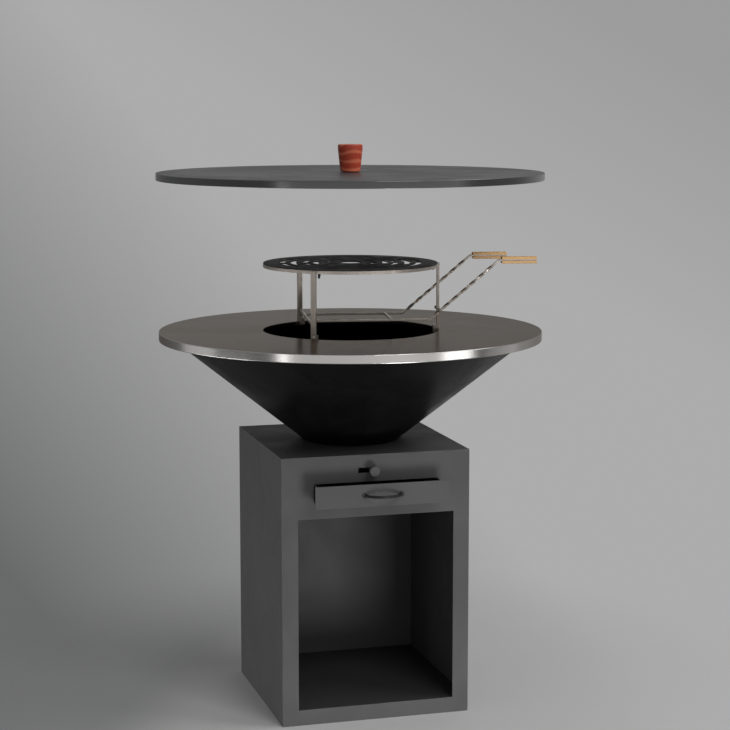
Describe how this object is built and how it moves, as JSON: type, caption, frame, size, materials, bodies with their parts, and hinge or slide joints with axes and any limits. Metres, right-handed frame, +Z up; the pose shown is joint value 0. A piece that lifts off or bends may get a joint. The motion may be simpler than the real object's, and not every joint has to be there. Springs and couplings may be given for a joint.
{
  "type": "charcoal fire-bowl grill",
  "caption": "Fire-bowl grill: log-store cabinet with ash drawer and air damper, conical bowl, ring griddle, lift-off grate stand with twisted handles, and a flat lid.",
  "frame": {"origin": "on the floor under the bowl's axis, at the middle of the cabinet's base", "axes": "+Z up, the front with the drawer faces -Y, +X to the right as seen from the front"},
  "size_m": [1.0049, 1.005, 1.4613],
  "materials": {
    "cabinet_paint": "satin charcoal-black paint",
    "bowl_paint": "satin black heat-proof paint",
    "plain_steel": "plain steel sheet",
    "griddle_steel": "turned steel, browned by seasoning on top",
    "bare_steel": "brushed bare steel",
    "grip_oak": "oiled pale wood",
    "black_iron": "matt black",
    "lid_paint": "satin dark grey paint",
    "knob_wood": "varnished reddish turned wood"
  },
  "bodies": {
    "cabinet": {"left_side_panel": "cabinet_paint", "right_side_panel": "cabinet_paint", "back_panel": "cabinet_paint", "front_panel": "cabinet_paint", "top_plate": "cabinet_paint", "store_floor": "cabinet_paint", "drawer_shelf": "cabinet_paint", "left_runner": "plain_steel", "right_runner": "plain_steel", "fire_bowl": "bowl_paint", "bowl_base": "bowl_paint", "front_damper_guide": "plain_steel", "rear_damper_guide": "plain_steel", "guide_rivets": "plain_steel"},
    "ash_drawer": {"drawer_tray": "plain_steel", "drawer_front": "cabinet_paint", "drawer_handle": "cabinet_paint", "handle_nuts": "plain_steel"},
    "air_damper": {"damper_gate": "plain_steel", "damper_rod": "cabinet_paint", "damper_knob": "cabinet_paint"},
    "ember_bed": {"ember_grate": "black_iron"},
    "griddle": {"griddle_plate": "griddle_steel", "griddle_lugs": "griddle_steel"},
    "grate_stand": {"stand_band": "bare_steel", "right_leg": "bare_steel", "front_leg": "bare_steel", "rear_leg": "bare_steel", "foot_hooks": "bare_steel", "leg_rivets": "bare_steel", "cross_bar": "bare_steel", "rail_tie": "bare_steel", "handle_yoke": "bare_steel", "front_rail": "bare_steel", "rear_rail": "bare_steel", "front_twisted_rod": "bare_steel", "rear_twisted_rod": "bare_steel", "front_tang": "bare_steel", "rear_tang": "bare_steel", "front_grip_upper": "grip_oak", "front_grip_lower": "grip_oak", "rear_grip_upper": "grip_oak", "rear_grip_lower": "grip_oak", "grip_rivets": "bare_steel"},
    "grate_top": {"cooking_grate": "black_iron", "grate_lugs": "black_iron"},
    "lid": {"lid_sheet": "lid_paint", "lid_skirt": "lid_paint", "lid_knob": "knob_wood", "knob_washer": "plain_steel", "knob_screw": "plain_steel"}
  },
  "joints": [
    {"name": "drawer_slide", "type": "slide", "parent": "cabinet", "child": "ash_drawer", "axis": [0, -1, 0], "range_m": [-0.0567, 0.26]},
    {"name": "damper_slide", "type": "slide", "parent": "cabinet", "child": "air_damper", "axis": [1, 0, 0], "range_m": [-0.031, 0]},
    {"name": "ember_grate_lift", "type": "slide", "parent": "cabinet", "child": "ember_bed", "axis": [0, 0, 1], "range_m": [0, 0.15]},
    {"name": "griddle_lift", "type": "slide", "parent": "cabinet", "child": "griddle", "axis": [0, 0, 1], "range_m": [0, 0.06]},
    {"name": "stand_lift", "type": "slide", "parent": "griddle", "child": "grate_stand", "axis": [0, 0, 1], "range_m": [0, 0.1]},
    {"name": "grate_lift", "type": "slide", "parent": "grate_stand", "child": "grate_top", "axis": [0, 0, 1], "range_m": [0, 0.05]},
    {"name": "lid_lift", "type": "slide", "parent": "grate_top", "child": "lid", "axis": [0, 0, 1], "range_m": [-0.214, 0.1]}
  ]
}
